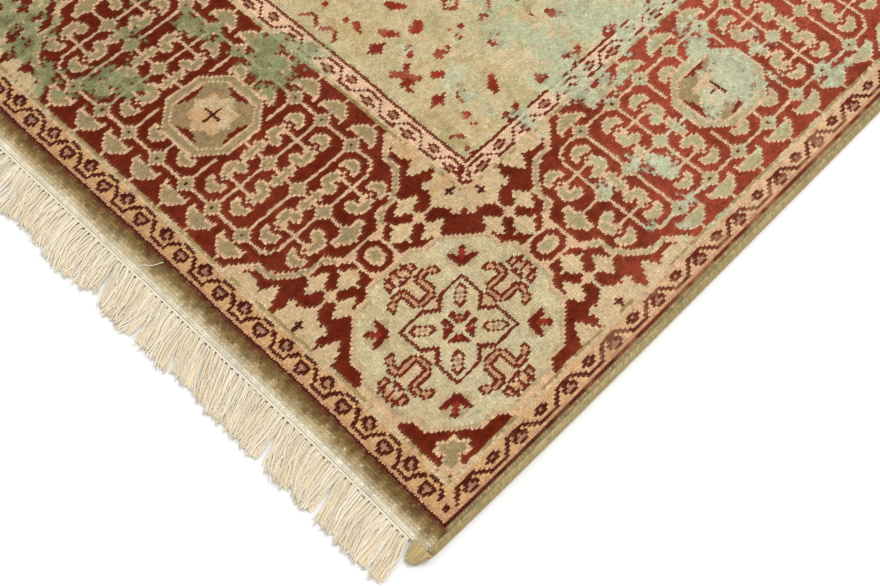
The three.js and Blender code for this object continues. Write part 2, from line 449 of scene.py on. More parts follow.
def draw_rug():
    """The colour number of each knot as [across the rug, along the rug], with the plain bands."""
    rng = np.random.default_rng(5)
    u, v = np.meshgrid(np.arange(-SIDE_KNOTS, KNOTS_X + SIDE_KNOTS),
                       np.arange(-END_KNOTS, KNOTS_Y + END_KNOTS), indexing="ij")
    near_side = np.minimum(u, KNOTS_X - 1 - u)
    near_end = np.minimum(v, KNOTS_Y - 1 - v)
    across = np.minimum(near_side, near_end)
    along = np.maximum(near_side, near_end) - MIDDLE
    folded = np.where(along > HALF_REPEAT, np.mod(along, REPEAT), along)
    folded = np.where(folded > HALF_REPEAT, REPEAT - folded, folded)
    border = draw_border()
    knots = np.full(u.shape, FIELD)
    in_border = (across >= 0) & (across < BORDER)
    knots[in_border] = border[folded[in_border] + MIDDLE, across[in_border]]
    for lowest, highest, colour in GUARD_ROWS:
        knots[(across >= lowest) & (across <= highest)] = colour
    broken = cloud(u.shape, (5, 5), rng) + 0.5 * rng.uniform(-1, 1, u.shape)
    knots[(knots == OLIVE) & (broken > 0.1)] = CREAM
    knots[(knots == APRICOT) & (cloud(u.shape, (9, 7), rng) > 0.7)] = PINK
    # Each side's vine starts at its own right-hand corner.
    on_end = near_end <= near_side
    ends = (KNOTS_X, (28, 19), END_VINE, on_end, u, v > KNOTS_Y / 2)
    sides = (KNOTS_Y, (40, 30), SIDE_VINE, ~on_end, v, u < KNOTS_X / 2)
    for length, counts, charts, mine, run, far in (ends, sides):
        start = np.where(far == (charts is END_VINE), run, length - 1 - run)
        start = np.clip(start, 0, length - 1)
        outer = run_vine(length, OUTER_START, counts[0], charts)
        inner = run_vine(length, INNER_START, counts[1], INNER_VINE)
        for vine, foot, first in ((outer, 0, 5), (inner, 72, 78)):
            here = mine & (across >= foot) & (across <= foot + 6)
            here &= (start >= first) & (start < length - first)
            colour = vine[start, np.clip(across - foot, 0, VINE_KNOTS)]
            here &= colour > BARE
            knots[here] = colour[here]
    for path in INNER_TURN:
        knots[distance_to_path(near_side - MIDDLE, near_end - MIDDLE, path) <= 0.6] = RUST
    corner = np.abs(near_side - 2.5) + np.abs(near_end - 2.5)
    knots[(across >= 1) & (corner <= 3)] = PINK
    knots[corner <= 1.5] = LINE
    tie_field(knots, rng)
    knots[(across < -1) & on_end] = ENDBAND
    knots[(across < -1) & ~on_end] = SIDEBAND
    return knots, near_side, near_end


# Colours

def linear(code):
    """An sRGB hex colour as linear numbers."""
    parts = [int(code[i:i + 2], 16) / 255 for i in (1, 3, 5)]
    return np.array([c / 12.92 if c <= 0.04045 else ((c + 0.055) / 1.055) ** 2.4 for c in parts])


DYES = {
    "red": "#621e0b", "line": "#460f08", "ivory": "#cda984", "sage": "#998561", "celadon": "#c0ae87",
    "apricot": "#c79b6c", "olive": "#9a8054", "mauve": "#a0775c", "cream": "#c6ab85", "pink": "#be916b",
    "field": "#c5b38e", "brick": "#8a2f20", "endband": "#75603a", "khaki": "#987f5b", "sideband": "#9e8a60",
    "rose": "#dab795", "moss": "#b39c76", "buff": "#c9ae86", "rust": "#651d10", "ghost": "#ae9367",
}
DYE_TABLE = np.array([linear(code) for code in DYES.values()])
MADDER_BRICK = linear("#9c4631")
PALE_SAGE = linear("#b0a57d")
PALE_CELADON = linear("#d3caa7")
WASHED_GREEN = linear("#838a60")
WASHED_AQUA = linear("#b9bf9e")
WORN_FIELD = linear("#cbb992")
TAN_FIELD = linear("#b39a68")
KHAKI_FIELD = linear("#a89f6f")
WORN_FIGURE = linear("#b8735a")
# The end bands, from the dark line to the fringe. The dark brown tones by the line are painted shade.
BAND_CODES = ("#5f3320", "#745936", "#79613a", "#8b734c", "#b39e76", "#c7b593", "#d6c9aa", "#f0e7d2")
BAND_TONES = np.array([linear(code) for code in BAND_CODES])

# Washed patches by the near right corner, as (knots from the right side, knots from the near end, radius
# across, radius along, strength, share of aqua).
WASHES = [(156, 63, 10, 10, 1.0, 0.0), (150, 73, 7, 6, 0.9, 0.25), (176, 62, 7, 5, 0.6, 0.0),
          (190, 26, 10, 10, 0.5, 0.0), (203, 16, 7, 6, 0.7, 0.0), (226, 20, 12, 9, 0.9, 0.0),
          (196, 42, 8, 6, 0.35, 0.0), (206, 55, 7, 4, 0.5, 0.0), (101, 126, 22, 7, 0.85, 0.8),
          (92, 144, 10, 10, 0.85, 0.8), (108, 99, 24, 5, 0.4, 0.9), (76, 103, 10, 5, 0.5, 0.9),
          (38, 158, 9, 16, 0.8, 0.95), (70, 132, 6, 9, 0.55, 0.9), (36, 118, 9, 7, 0.35, 0.95),
          (24, 100, 8, 5, 0.35, 0.9), (57, 160, 9, 10, 0.45, 0.9), (128, 150, 26, 22, 0.8, 0.8),
          (16, 180, 6, 14, 0.35, 0.9), (70, 122, 7, 6, 0.6, 0.9), (39, 114, 8, 5, 0.45, 0.9),
          (41, 101, 7, 4, 0.5, 0.9), (31, 119, 5, 5, 0.5, 0.9), (19, 115, 4, 7, 0.4, 0.9),
          (7, 118, 3, 7, 0.5, 0.9), (77, 150, 8, 12, 0.75, 0.9), (84, 122, 12, 12, 0.5, 0.9),
          (182, 30, 12, 9, 0.2, 0.0), (188, 58, 14, 7, 0.35, 0.0)]


def ramp(value, low, high):
    share = np.clip((value - low) / (high - low), 0, 1)
    return share * share * (3 - 2 * share)


def blend(colours, other, share):
    return colours + (other - colours) * share[..., None]


def dye_rug(knots, near_side, near_end, rng):
    """The colour of each knot: its dye, worn, washed and uneven as in a rug that has been abraded, with
    painted sheen on the long sides of the border and painted shade in the end bands and towards the middles
    of the end borders.
    """
    size = knots.shape
    depth = np.minimum(near_side, near_end)
    inside = depth > BORDER
    colours = DYE_TABLE[knots]

    def soften(where, other, share):
        nonlocal colours
        colours = np.where(where[..., None], blend(colours, other, share * np.ones(size)), colours)

    # Painted sheen makes the long sides of the border paler than its ends, and the red also fades in lumps.
    lumps = clouds(size, rng, ((46, 40), 1), ((15, 13), 0.6), ((4, 3), 0.45))
    side_sheen = ramp(near_end - near_side, -5, 95)
    fade_and_sheen = ramp(0.55 * lumps + 1.5 * side_sheen - 0.35, -0.5, 1.5)
    soften(knots == RED, MADDER_BRICK, 0.95 * fade_and_sheen)
    soften(np.isin(knots, (LINE, RUST)), MADDER_BRICK, 0.3 * fade_and_sheen * (0.3 + 0.7 * side_sheen))
    spots = cloud(size, (3, 3), rng)
    soften(inside & (knots == RUST), DYE_TABLE[BRICK], 0.5)
    soften(inside & np.isin(knots, (RUST, BRICK)), WORN_FIGURE, 0.5 * ramp(spots, -0.3, 0.9))
    lines_worn_and_sheen = 0.3 * side_sheen * ramp(spots, -0.1, 0.6)
    soften(~inside & np.isin(knots, (LINE, OLIVE)), DYE_TABLE[PINK], lines_worn_and_sheen)
    # Painted sheen also pales the apricot and the sage on the long sides.
    soften(knots == APRICOT, DYE_TABLE[IVORY], 0.7 * side_sheen)
    soften(knots == SAGE, PALE_SAGE, 0.8 * side_sheen)
    uneven = clouds(size, rng, ((9, 8), 1), ((3, 3), 0.6))
    soften(knots == CELADON, PALE_CELADON, 0.35 * ramp(uneven, -0.2, 1.2))
    warmer = 0.7 * ramp(cloud(size, (6, 6), rng), 0.3, 0.8) * (1 - side_sheen)
    soften(np.isin(knots, (BUFF, CREAM)), DYE_TABLE[APRICOT], warmer)
    # The end bands: dark by the line, which is painted shade, and pale by the fringe. out counts tones from
    # the line outwards.
    bands = knots == ENDBAND
    streaks = clouds(size, rng, ((16, 3), 0.4), ((2.2, 3), 0.7)) + 0.9 * rng.uniform(-1, 1, size)
    last_tone = len(BAND_TONES) - 1
    out = -near_end - 2 + 0.7 * (near_end == -END_KNOTS) + 0.3 * ramp(110 - near_side, 0, 30)
    out = np.clip(out + 0.8 * streaks * (1 - 0.65 * ramp(out, 4, 6.5)), 0, last_tone)
    tones = [np.interp(out, np.arange(last_tone + 1), BAND_TONES[:, c]) for c in range(3)]
    colours = np.where(bands[..., None], np.stack(tones, -1), colours)
    # The field is worn in streaks, and parts of it and of the border are washed to green and aqua.
    field = np.isin(knots, (FIELD, GHOST))
    streaks = clouds(size, rng, ((9, 40), 1), ((3, 14), 0.7))
    soften(field, WORN_FIELD, 0.8 * ramp(streaks, -0.5, 1.2))
    calm = ramp(135 - near_end, 0, 45) * (1 - side_sheen)
    soften(field, TAN_FIELD, 0.3 * calm)
    for tone, most in ((TAN_FIELD, 0.5 + 0.2 * calm), (KHAKI_FIELD, 0.55), (WASHED_AQUA, 0.7 - 0.6 * calm)):
        patches = clouds(size, rng, ((13, 9), 1), ((4, 3), 0.6), ((1.3, 2.6), 0.4))
        soften(field, tone, most * ramp(patches, 0.25, 0.8))
    # Near the right-hand near corner the patches stand where WASHES puts them. Elsewhere they are random.
    rows = KNOTS_X + SIDE_KNOTS - 1 - np.arange(size[0])[:, None]
    columns = np.arange(size[1])[None, :] - END_KNOTS
    seen = ramp(330 - rows - 1.1 * columns, -20, 30)
    ragged = clouds(size, rng, ((9, 8), 0.5), ((3, 2.5), 0.55)) + 0.25 * rng.standard_normal(size)
    inner = ramp(depth, 60, 110)
    free = clouds(size, rng, ((60, 52), 1), ((19, 17), 0.55), ((6, 5), 0.4))
    reach = np.where(seen > 0.5, -9.0, 1.2 * (free + 0.4 * inner + 0.3 * ragged - 0.72))
    aqua = ramp(clouds(size, rng, ((30, 30), 1), ((7, 8), 0.5)) + inner, -0.2, 1.2)
    for across, along, wide, high, strength, tint in WASHES:
        far = np.hypot((rows - across) / wide, (columns - along) / high)
        value = 0.15 + 1.05 * strength - far + ragged
        aqua = np.where(value > np.maximum(reach, 0), tint, aqua)
        reach = np.maximum(reach, value)
    # Pale yarn takes the wash before red yarn does.
    red_yarn = np.isin(knots, (RED, LINE, RUST, BRICK))
    wash = np.where(red_yarn, ramp(reach, 0.2, 0.5), ramp(reach, -0.15, 0.3))
    flecks = clouds(size, rng, ((7, 6), 1), ((2, 2), 0.6))
    flecks = 0.7 * ramp(flecks, 0.35, 0.85) * ~red_yarn * np.maximum(side_sheen, 0.35) * (1 - 0.8 * calm)
    wash = np.maximum(wash, flecks)
    # On the long sides the washes lean to aqua, with the painted sheen there.
    aqua = np.maximum(aqua, 0.9 * side_sheen)
    tints = blend(np.broadcast_to(WASHED_GREEN, size + (3,)), WASHED_AQUA, aqua)
    soften(depth >= 8, tints, wash * np.where(field, 0.75, 0.8))
    # Painted sheen: the long sides of the border are made a little lighter, most in blue.
    colours = colours * (1 + side_sheen[..., None] * ~field[..., None] * np.array([0.04, 0.06, 0.1]))
    # Each knot differs a little, and each row of weft a little more.
    value = (1 + 0.085 * rng.standard_normal(size) + 0.035 * cloud(size, (60, 1.2), rng)
             + 0.06 * cloud(size, (12, 10), rng))
    mottled = np.where(bands, 0.2 * (1 - 0.8 * ramp(-near_end - 2, 2, 6)), 0.15 * (knots == SIDEBAND))
    value = value + mottled * rng.standard_normal(size).clip(-2, 2)
    red_value = value + 0.1 * rng.standard_normal(size) + 0.08 * cloud(size, (3, 3), rng)
    value = np.where(knots == RED, red_value, value)
    # Painted shade: the end borders are darker towards their middles, away from the corners.
    value = value * (1 - 0.09 * ramp(near_side - near_end, 70, 190) * ~inside * ~bands)
    warmth = 0.02 * rng.standard_normal(size)
    colours = colours * value[..., None] * np.stack([1 + warmth, np.ones(size), 1 - warmth], -1)
    return np.clip(colours, 0.002, 0.95)


# The shape of the rug

# The part's solids have the same shape. Each edge bows in, as (depth, length of the bow, its start along
# the edge), in metres. Each corner is dragged, as (side, end, drag across, drag along, the reach of each
# drag), and the drag fades over DRAG_DEPTH into the cloth.
EDGE_WAVES = {"right": (0.0016, 1.15, 0.76), "left": (0.0022, 0.98, -0.22), "far": (0.0014, 0.76, 0.13),
              "near": (0.0012, 1.3, -0.26)}
CORNER_DRAGS = [(1, -1, -0.0065, -0.0046, 0.16, 0.07), (-1, -1, 0.0025, 0.002, 0.14, 0.09),
                (1, 1, -0.002, -0.003, 0.15, 0.08), (-1, 1, 0.0035, -0.002, 0.17, 0.09)]
DRAG_DEPTH = 0.075
# How the pile rolls down at its edges: distances from the edge, and the share of its height there.
SIDE_ROLL = ((0, 0.0025, 0.007), (0.72, 0.9, 1))
END_ROLL = ((0, 0.005, 0.013, 0.024), (0.38, 0.63, 0.88, 1))
# The room between the pile and what is sewn to it.
GAP = 0.0004


def laid(x, y):
    """Where a point of the flat cloth lies."""
    x, y = np.asarray(x, float), np.asarray(y, float)

    def bow(edge, along):
        depth, length, start = EDGE_WAVES[edge]
        return depth / 2 * (1 - np.cos(2 * np.pi * (along - start) / length))

    edge_x = np.minimum(np.abs(x) / HALF_X, 1) ** 3
    edge_y = np.minimum(np.abs(y) / HALF_Y, 1) ** 3
    moved_x = x - np.sign(x) * edge_x * np.where(x > 0, bow("right", y), bow("left", y))
    moved_y = y - np.sign(y) * edge_y * np.where(y > 0, bow("far", x), bow("near", x))
    for side_x, side_y, drag_x, drag_y, reach_x, reach_y in CORNER_DRAGS:
        from_side = np.maximum(HALF_X - side_x * x, 0)
        from_end = np.maximum(HALF_Y - side_y * y, 0)
        moved_x = moved_x + drag_x * np.exp(-from_end / reach_x - from_side / DRAG_DEPTH)
        moved_y = moved_y + drag_y * np.exp(-from_side / reach_y - from_end / DRAG_DEPTH)
    return moved_x, moved_y


def knot_edges(half_line, half_cloth, count, band):
    """The places of the lines between knots, from one edge of the cloth to the other."""
    inner = np.linspace(-half_line, half_line, count + 1)
    outer = np.linspace(half_line, half_cloth, band + 1)[1:]
    return np.concatenate([-outer[::-1], inner, outer])


EDGES_X = knot_edges(LINE_WIDTH / 2, HALF_X, KNOTS_X, SIDE_KNOTS)
EDGES_Y = knot_edges(LINE_LENGTH / 2, HALF_Y, KNOTS_Y, END_KNOTS)
cad_low, cad_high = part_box("pile")
flat_x, flat_y = laid(*np.meshgrid(EDGES_X, EDGES_Y, indexing="ij"))
# The part stands in the middle of its box, so the cloth is moved by this much.
SHIFT_X = (cad_low[0] + cad_high[0] - flat_x.min() - flat_x.max()) / 2
SHIFT_Y = (cad_low[1] + cad_high[1] - flat_y.min() - flat_y.max()) / 2


def place(x, y):
    x, y = laid(x, y)
    return x + SHIFT_X, y + SHIFT_Y


# Pieces and materials

def new_piece(name, points, quads, material, colours, maps, normals=None):
    """A smooth mesh of quads. colours and maps hold colours and texture maps by name, one a corner."""
    mesh = bpy.data.meshes.new(name)
    mesh.vertices.add(len(points))
    mesh.vertices.foreach_set("co", np.ascontiguousarray(points, np.float32).ravel())
    mesh.loops.add(quads.size)
    mesh.loops.foreach_set("vertex_index", np.ascontiguousarray(quads, np.int32).ravel())
    mesh.polygons.add(len(quads))
    mesh.polygons.foreach_set("loop_start", np.arange(0, quads.size, 4, dtype=np.int32))
    mesh.polygons.foreach_set("use_smooth", np.ones(len(quads), bool))
    mesh.update(calc_edges=True)
    for title, shades in colours.items():
        layer = mesh.color_attributes.new(title, "FLOAT_COLOR", "CORNER")
        full = np.ones((quads.size, 4), np.float32)
        full[:, :3] = shades.reshape(-1, 3)
        layer.data.foreach_set("color", full.ravel())
    for title, places in maps.items():
        layer = mesh.uv_layers.new(name=title)
        layer.data.foreach_set("uv", np.ascontiguousarray(places, np.float32).ravel())
    if normals is not None:
        mesh.normals_split_custom_set_from_vertices(normals.reshape(-1, 3).tolist())
    piece = bpy.data.objects.new(name, mesh)
    bpy.context.scene.collection.objects.link(piece)
    mesh.materials.append(material)
    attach(piece, "root")
    return piece


SQUARE = ((0, 0), (1, 0), (1, 1), (0, 1))


def grid_quads(rows, columns, first=0):
    """Quads of a grid of points numbered row by row."""
    i, j = np.meshgrid(np.arange(rows - 1), np.arange(columns - 1), indexing="ij")
    return np.stack([first + (i + a) * columns + j + b for a, b in SQUARE], -1).reshape(-1, 4)


def square_corners(i, j):
    """The grid places of each square's four corners, the first at (i, j)."""
    return np.stack([np.stack([i + a, j + b], -1) for a, b in SQUARE], 2).reshape(-1, 4, 2)


class Finish:
    """A material with its nodes."""

    def __init__(self, name):
        self.material = bpy.data.materials.new(name)
        self.material.use_nodes = True
        self.tree = self.material.node_tree
        self.tree.nodes.clear()
        self.output = self.add("OutputMaterial")

    def add(self, kind, settings=None, **inputs):
        """Adds a node. settings are its own properties. An input is a number, a socket or a node, which
        then gives its first output. i0, i1 and so on are inputs by number."""
        node = self.tree.nodes.new("ShaderNode" + kind)
        for key, value in (settings or {}).items():
            setattr(node, key, value)
        for key, value in inputs.items():
            numbered = key[0] == "i" and key[1:].isdigit()
            socket = node.inputs[int(key[1:]) if numbered else key.replace("_", " ")]
            if isinstance(value, bpy.types.Node):
                value = value.outputs[0]
            if isinstance(value, bpy.types.NodeSocket):
                self.tree.links.new(value, socket)
            else:
                socket.default_value = value
        return node

    def finish(self, shader):
        self.tree.links.new(shader.outputs[0], self.output.inputs["Surface"])
        return self.material


def wool_pile():
    """Hand-knotted wool pile, sheared and washed: dull, soft tufts that all lean over the next row."""
    f = Finish("wool_pile_hand_knotted")
    own = f.add("Attribute", {"attribute_name": "yarn"})
    above = f.add("Attribute", {"attribute_name": "above"})
    knots = f.add("UVMap", {"uv_map": "knots"})
    place_3d = f.add("TexCoord")
    # Tufts splay unevenly, so the place within a knot's square is pushed about.
    stray = f.add("TexNoise", {"noise_dimensions": "2D"}, Vector=knots, Scale=1.7, Detail=2.0)
    part = f.add("VectorMath", {"operation": "FRACTION"}, i0=knots)
    level = f.add("VectorMath", {"operation": "SUBTRACT"}, i0=part, i1=(0.35, 0.4, 0.0))
    pushed = f.add("VectorMath", {"operation": "MULTIPLY_ADD"}, i0=stray.outputs["Color"],
                   i1=(0.7, 0.8, 0.0), i2=level)
    place_2d = f.add("SeparateXYZ", Vector=pushed)
    # The knot behind hangs over this one as a rounded tooth.
    side = f.add("Math", {"operation": "MULTIPLY_ADD"}, i0=place_2d, i1=2.0, i2=-1.0)
    square = f.add("Math", {"operation": "MULTIPLY"}, i0=side, i1=side)
    lift = f.add("Math", {"operation": "ADD"}, i0=place_2d.outputs[1], i1=0.5)
    tooth = f.add("Math", {"operation": "MULTIPLY_ADD"}, i0=square, i1=-0.5, i2=lift)
    over = f.add("MapRange", {"interpolation_type": "SMOOTHSTEP"}, Value=tooth,
                 From_Min=0.92, From_Max=1.08, To_Min=0.0, To_Max=1.0)
    dye = f.add("Mix", {"data_type": "RGBA"}, i0=over, i6=own.outputs["Color"], i7=above.outputs["Color"])
    # Wool fibres are 0.03 mm thick and too fine to show. Their locks are drawn about 1 mm wide, 1000 a
    # metre. The pile's own lumps are about 10 mm wide, 95 a metre.
    drawn = f.add("VectorMath", {"operation": "MULTIPLY"}, i0=place_3d.outputs["Object"],
                  i1=(1.0, 0.5, 1.0))
    fibre = f.add("TexNoise", Vector=drawn, Scale=1000.0, Detail=3.0, Roughness=0.65)
    lumps = f.add("TexNoise", Vector=place_3d.outputs["Object"], Scale=95.0, Detail=3.0, Roughness=0.6)
    # Painted shade: each knot darkens towards the crease under the tooth that hangs over it, and the tooth is
    # painted a little lighter.
    crease_shade = f.add("MapRange", Value=tooth, From_Min=0.4, From_Max=1.0, To_Min=1.02, To_Max=0.82)
    shade = f.add("Math", {"operation": "MULTIPLY_ADD"}, i0=over, i1=0.22, i2=crease_shade)
    grain = f.add("MapRange", Value=fibre, From_Min=0.25, From_Max=0.75, To_Min=0.66, To_Max=1.32)
    cloudy = f.add("MapRange", Value=lumps, From_Min=0.25, From_Max=0.75, To_Min=0.90, To_Max=1.10)
    both = f.add("Math", {"operation": "MULTIPLY"}, i0=shade, i1=grain)
    every = f.add("Math", {"operation": "MULTIPLY"}, i0=both, i1=cloudy)
    colour = f.add("VectorMath", {"operation": "SCALE"}, i0=dye.outputs[2], Scale=every)
    height = f.add("Math", {"operation": "MULTIPLY_ADD"}, i0=fibre, i1=0.9, i2=over)
    bump = f.add("Bump", Height=height, Strength=0.45, Distance=0.0008)
    shader = f.add("BsdfPrincipled", Base_Color=colour, Roughness=0.95, Normal=bump,
                   Sheen_Weight=0.02, Sheen_Roughness=0.5, IOR=1.5, Specular_IOR_Level=0.05)
    return f.finish(shader)


def wool_back():
    """The back of a knotted rug: each knot shows as a small flat bead between wefts."""
    f = Finish("wool_knots_from_the_back")
    dye = f.add("Attribute", {"attribute_name": "yarn"})
    knots = f.add("UVMap", {"uv_map": "knots"})
    part = f.add("VectorMath", {"operation": "FRACTION"}, i0=knots)
    middle = f.add("VectorMath", {"operation": "DISTANCE"}, i0=part, i1=(0.5, 0.5, 0.0))
    bead = f.add("MapRange", {"interpolation_type": "SMOOTHSTEP"}, Value=middle.outputs["Value"],
                 From_Min=0.6, From_Max=0.1, To_Min=0.0, To_Max=1.0)
    # Painted shade darkens each bead towards the gaps between the beads.
    shade = f.add("MapRange", Value=bead, From_Min=0.0, From_Max=1.0, To_Min=0.62, To_Max=1.02)
    colour = f.add("VectorMath", {"operation": "SCALE"}, i0=dye.outputs["Color"], Scale=shade)
    bump = f.add("Bump", Height=bead, Strength=0.8, Distance=0.0006)
    shader = f.add("BsdfPrincipled", Base_Color=colour, Roughness=0.9, Normal=bump,
                   Specular_IOR_Level=0.2)
    return f.finish(shader)


def spun_yarn(name, scale, roughness, depth):
    """Spun yarn, plied: dull, with the fine slant of its twist. The colour is each yarn's own.
    A scale of 1 is about 1.6 turns of twist a centimetre, and the fluff is about 1.4 mm wide."""
    f = Finish(name)
    dye = f.add("Attribute", {"attribute_name": "yarn"})
    twist = f.add("UVMap", {"uv_map": "twist"})
    place_3d = f.add("TexCoord")
    wave = f.add("TexWave", {"bands_direction": "DIAGONAL"}, Vector=twist, Scale=scale,
                 Distortion=1.2, Detail=1.0)
    fluff = f.add("TexNoise", Vector=place_3d.outputs["Object"], Scale=700.0, Detail=3.0, Roughness=0.6)
    height = f.add("Math", {"operation": "MULTIPLY_ADD"}, i0=fluff, i1=0.7, i2=wave.outputs["Fac"])
    # Painted shade: the grooves of the twist, and the dips of the fluff, are drawn darker.
    shade = f.add("MapRange", Value=height, From_Min=0.2, From_Max=1.5, To_Min=0.88, To_Max=1.05)
    colour = f.add("VectorMath", {"operation": "SCALE"}, i0=dye.outputs["Color"], Scale=shade)
    bump = f.add("Bump", Height=height, Strength=0.5, Distance=depth)
    shader = f.add("BsdfPrincipled", Base_Color=colour, Roughness=roughness,
                   Normal=bump, Sheen_Weight=0.1, Sheen_Roughness=0.5, Specular_IOR_Level=0.15)
    return f.finish(shader)


# The pile and its back

rng = np.random.default_rng(20)
KNOTS, NEAR_SIDE, NEAR_END = draw_rug()
YARN = dye_rug(KNOTS, NEAR_SIDE, NEAR_END, rng)
STRIPS = 5
# For its bake a strip is folded in three, so that its knots are nearly square there. The top of the strip
# takes the map's lower part, and each cut face a narrow lane above it.
FOLDS = 3
BAKE_TOP = 0.93
BAKE_CUTS = 0.94
BAKE_LANE = 0.014
BAKE_ROW = 0.005
# Rows and columns of knots wander by about a millimetre, and each tuft by a little.
WANDER = 0.0012
TUFT_STRAY = 0.0005
TUFT_UNEVEN = 0.00016
PILE_SINK = 0.0003


def pile_points():
    """The top of the pile: one point at each crossing between knots."""
    size = (len(EDGES_X), len(EDGES_Y))
    x, y = np.meshgrid(EDGES_X, EDGES_Y, indexing="ij")
    inset_x, inset_y = HALF_X - np.abs(x), HALF_Y - np.abs(y)
    loose = ramp(np.minimum(inset_x, inset_y), 0.001, 0.03)
    x = x + loose * (WANDER * cloud(size, (34, 20), rng) + TUFT_STRAY * rng.standard_normal(size).clip(-2, 2))
    y = y + loose * (WANDER * cloud(size, (20, 34), rng) + TUFT_STRAY * rng.standard_normal(size).clip(-2, 2))
    share = np.minimum(np.interp(inset_x, *SIDE_ROLL), np.interp(inset_y, *END_ROLL))
    lumps = clouds(size, rng, ((5, 5), 0.00022), ((30, 24), 0.0002))
    z = PILE_HEIGHT * share + lumps + TUFT_UNEVEN * rng.standard_normal(size).clip(-2, 2) - PILE_SINK
    x, y = place(x, y)
    return np.stack([x, y, z], -1)


def grid_normals(points):
    """Normals of a grid of points."""
    normals = np.cross(np.gradient(points, axis=0), np.gradient(points, axis=1))
    return normals / np.maximum(np.linalg.norm(normals, axis=-1, keepdims=True), 1e-12)


def corner_colours(yarn, own):
    """Each knot's colour at its four corners, mixed with its neighbours' where fibres cross."""
    padded = np.pad(yarn, ((1, 1), (1, 1), (0, 0)), mode="edge")
    met = (padded[:-1, :-1] + padded[1:, :-1] + padded[:-1, 1:] + padded[1:, 1:]) / 4
    corners = np.stack([met[:-1, :-1], met[1:, :-1], met[1:, 1:], met[:-1, 1:]], 2)
    return own * yarn[:, :, None] + (1 - own) * corners


TOP = pile_points()
TOP_NORMALS = grid_normals(TOP)
# The share of a knot's own colour at its corners. The plain bands are fuzzy: their knots run together.
OWN_PLAIN = 0.12
OWN_KNOT = 0.88
OWN_BACK = 0.6
PLAIN = np.isin(KNOTS, (ENDBAND, SIDEBAND))
TOP_COLOURS = corner_colours(YARN, np.where(PLAIN, OWN_PLAIN, OWN_KNOT)[..., None, None])
ABOVE = np.where(PLAIN[..., None], YARN, np.concatenate([YARN[:, 1:], YARN[:, -1:]], 1))
PILE_WOOL = wool_pile()
BACK_WOOL = wool_back()
# The height of the lowest edges above the floor, and of the back's cloth above those.
FOOT = 0.0004
BACK_RISE = 0.0002


def make_strip(number, first, last):
    """A lengthwise strip of the pile, with the cut faces at the cloth's own edges."""
    columns, rows = last - first + 1, TOP.shape[1]
    points = [TOP[first:last + 1].reshape(-1, 3)]
    normals = [TOP_NORMALS[first:last + 1].reshape(-1, 3)]
    quads = [grid_quads(columns, rows)]
    colours = [TOP_COLOURS[first:last].reshape(-1, 4, 3)]
    above = [np.repeat(ABOVE[first:last].reshape(-1, 1, 3), 4, 1)]
    i, j = np.meshgrid(np.arange(first, last), np.arange(rows - 1), indexing="ij")
    corner = square_corners(i, j)
    knots = [corner.astype(float)]
    fold_rows = -(-(rows - 1) // FOLDS)
    fold = np.repeat((j // fold_rows).reshape(-1, 1), 4, 1)
    width = (columns + 1) * FOLDS
    u = (fold * (columns + 1) + corner[:, :, 0] - first + 0.5) / width
    v = (corner[:, :, 1] - fold * fold_rows + 1) / (fold_rows + 2) * BAKE_TOP
    bake = [np.stack([u, v], -1)]
    # Cut faces run down from the top's edge to the floor.
    edges = [(np.arange(first, last + 1), 0, 1), (np.arange(first, last + 1), rows - 1, -1)]
    if first == 0:
        edges.append((0, np.arange(rows), -1))
    if last == TOP.shape[0] - 1:
        edges.append((TOP.shape[0] - 1, np.arange(rows), 1))
    count = len(points[0])
    for lane, (i, j, turn) in enumerate(edges):
        i, j = np.broadcast_arrays(i, j)
        top = TOP[i, j]
        middle = top.copy()
        low = top.copy()
        low[:, 2] = FOOT
        middle[:, 2] = top[:, 2] * 0.5
        wall = np.stack([top, middle, low])
        here = grid_quads(3, len(i), count)
        if turn < 0:
            here = here[:, ::-1]
        points.append(wall.reshape(-1, 3))
        normal = np.zeros_like(wall)
        if i[0] == i[-1]:
            normal[..., 0] = 1 if i[0] else -1
        else:
            normal[..., 1] = 1 if j[0] else -1
        normal[0, :, 2] = 0.6
        normals.append(normal.reshape(-1, 3))
        quads.append(here)
        knot_i = np.minimum(i[:-1], YARN.shape[0] - 1)
        knot_j = np.minimum(j[:-1], YARN.shape[1] - 1)
        shade = YARN[knot_i, knot_j]
        colours.append(np.repeat(np.tile(shade, (2, 1))[:, None], 4, 1))
        above.append(colours[-1])
        along = (here - count) % len(i)
        down = (here - count) // len(i)
        knots.append(np.stack([along + 0.0, down * 1.0], -1))
        lane_v = BAKE_CUTS + BAKE_LANE * lane + BAKE_ROW * down
        bake.append(np.stack([(along + 0.5) / (len(i) + 1), lane_v], -1))
        count += wall.size // 3
    piece = new_piece(f"pile_{number}", np.concatenate(points), np.concatenate(quads), PILE_WOOL,
                      {"yarn": np.concatenate(colours), "above": np.concatenate(above)},
                      {"knots": np.concatenate(knots), "OFBake": np.concatenate(bake)},
                      np.concatenate(normals))
    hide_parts("pile")
    return piece


limits = np.linspace(0, len(EDGES_X) - 1, STRIPS + 1).round().astype(int)
pile = [make_strip(n + 1, a, b) for n, (a, b) in enumerate(zip(limits, limits[1:]))]

# The back is drawn with one square for this many knots each way.
BACK_STEP = 8


